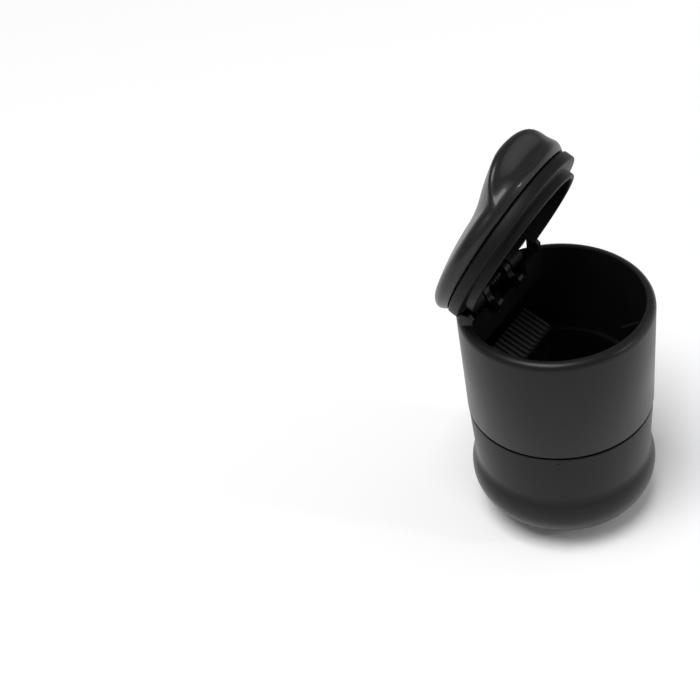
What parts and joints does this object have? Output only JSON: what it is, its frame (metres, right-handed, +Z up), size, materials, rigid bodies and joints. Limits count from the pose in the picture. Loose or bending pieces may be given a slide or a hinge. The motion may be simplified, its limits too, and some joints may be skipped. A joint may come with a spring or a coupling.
{
  "type": "car ashtray",
  "caption": "Cup-holder car ashtray: round moulded cup with a ribbed snuffer inside and a domed flip lid with a thumb hump on a sprung pin hinge.",
  "frame": {"origin": "middle of the underside of the foot", "axes": "+Z up along the cup's axis, -Y towards the front, where the lid opens, hinge at +Y"},
  "size_m": [0.07, 0.0732, 0.1576],
  "materials": {
    "satin_black": "fine moulded satin",
    "insert_black": "moulded, heat resistant",
    "ring_black": "moulded satin",
    "gloss_black": "polished moulding",
    "steel": "drawn wire"
  },
  "bodies": {
    "cup": {"base_cup": "satin_black", "cup_body": "satin_black", "snuffer_insert": "insert_black", "hinge_pin": "steel", "lid_spring": "steel"},
    "lid": {"lid_ring": "ring_black", "lid_cap": "gloss_black"}
  },
  "joints": [
    {"name": "lid_hinge", "type": "hinge", "parent": "cup", "child": "lid", "pos_m": [0, 0.0254, 0.0947], "axis": [-1, 0, 0], "range_deg": [-63, 0], "deforming": ["lid_spring"]}
  ]
}
